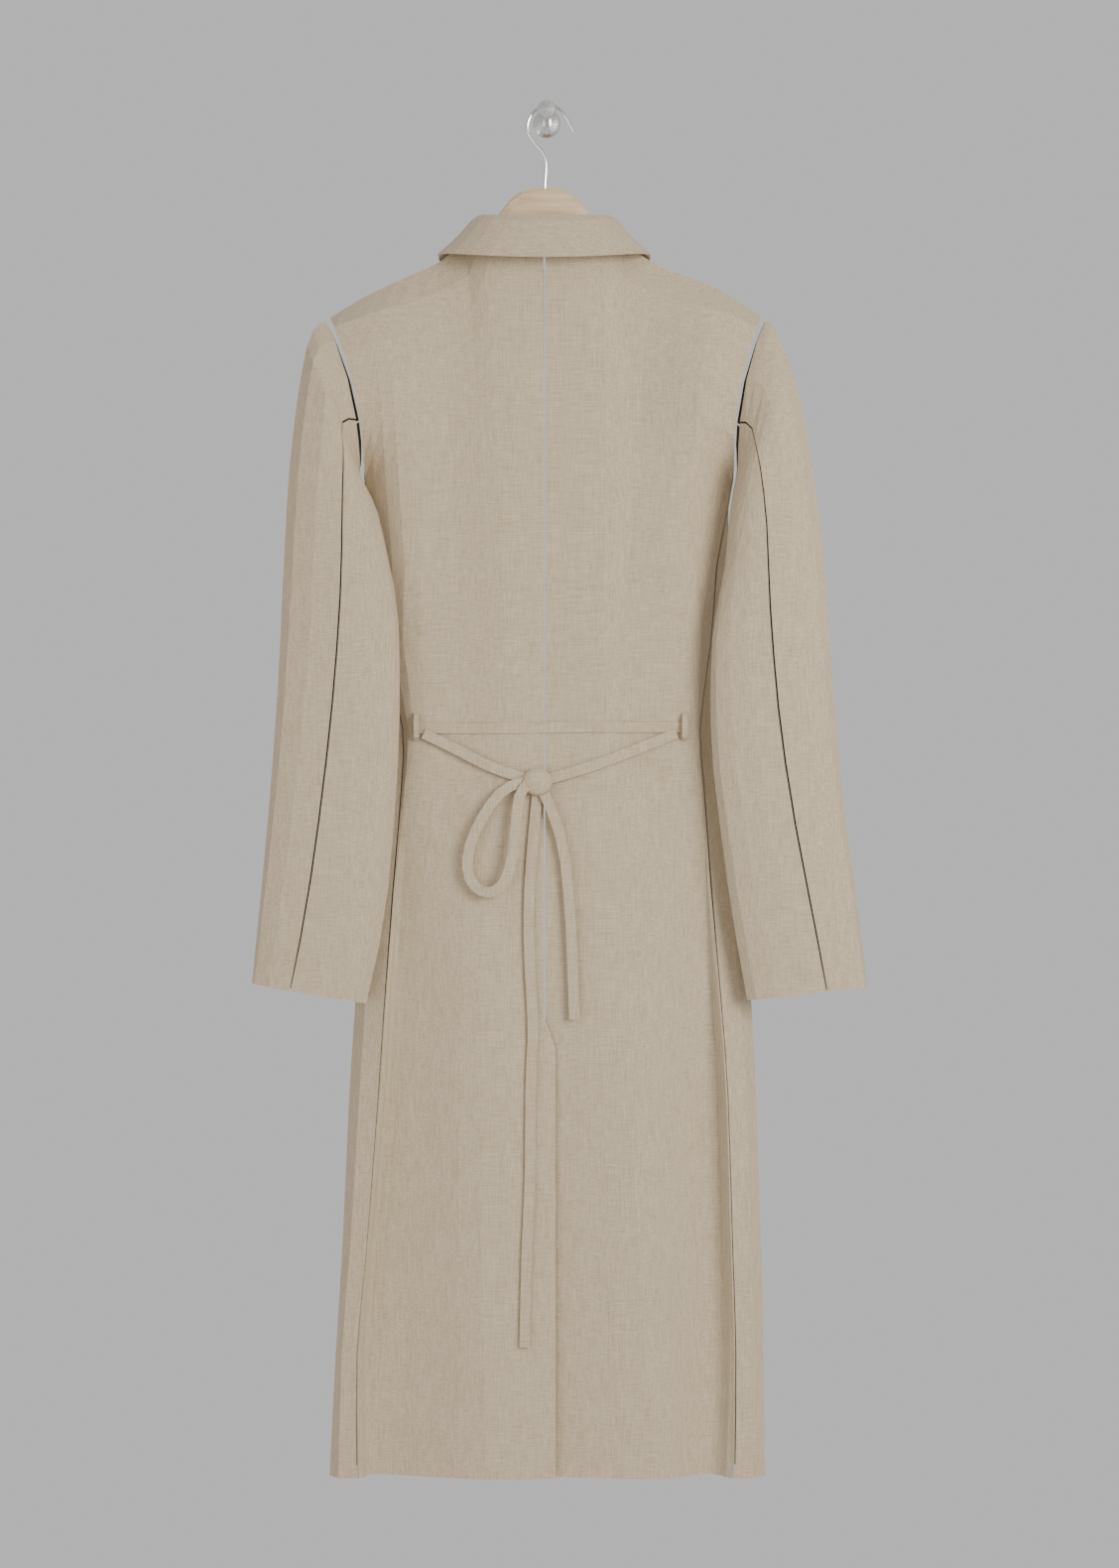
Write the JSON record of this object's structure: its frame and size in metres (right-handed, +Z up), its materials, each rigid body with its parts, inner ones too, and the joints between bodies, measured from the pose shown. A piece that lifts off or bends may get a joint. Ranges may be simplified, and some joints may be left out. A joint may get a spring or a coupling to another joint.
{
  "type": "long coat on a hanger and wall peg",
  "caption": "Long beige linen-look tailored coat with a tie belt, hung back outwards on a wooden hanger from a wall peg.",
  "frame": {"origin": "centre of the peg's back face, where it meets the wall", "axes": "+Z up, +Y out from the wall, the coat's front faces -Y"},
  "size_m": [0.5935, 0.1239, 1.342],
  "materials": {
    "cloth": "matte",
    "wood": "satin",
    "steel": "polished"
  },
  "bodies": {
    "root": {"back_left": "cloth", "back_right": "cloth", "front_left": "cloth", "front_right": "cloth", "top_sleeve_left": "cloth", "under_sleeve_left": "cloth", "top_sleeve_right": "cloth", "under_sleeve_right": "cloth", "collar": "cloth", "lapel_left": "cloth", "lapel_right": "cloth", "belt_back": "cloth", "belt_diagonal_left": "cloth", "belt_diagonal_right": "cloth", "belt_bow": "cloth", "belt_long_tail": "cloth", "belt_short_tail": "cloth", "belt_knot": "cloth", "belt_loop_left": "cloth", "belt_loop_right": "cloth", "hanger_wood": "wood", "hanger_hook": "steel", "wall_peg": "steel"}
  },
  "joints": []
}
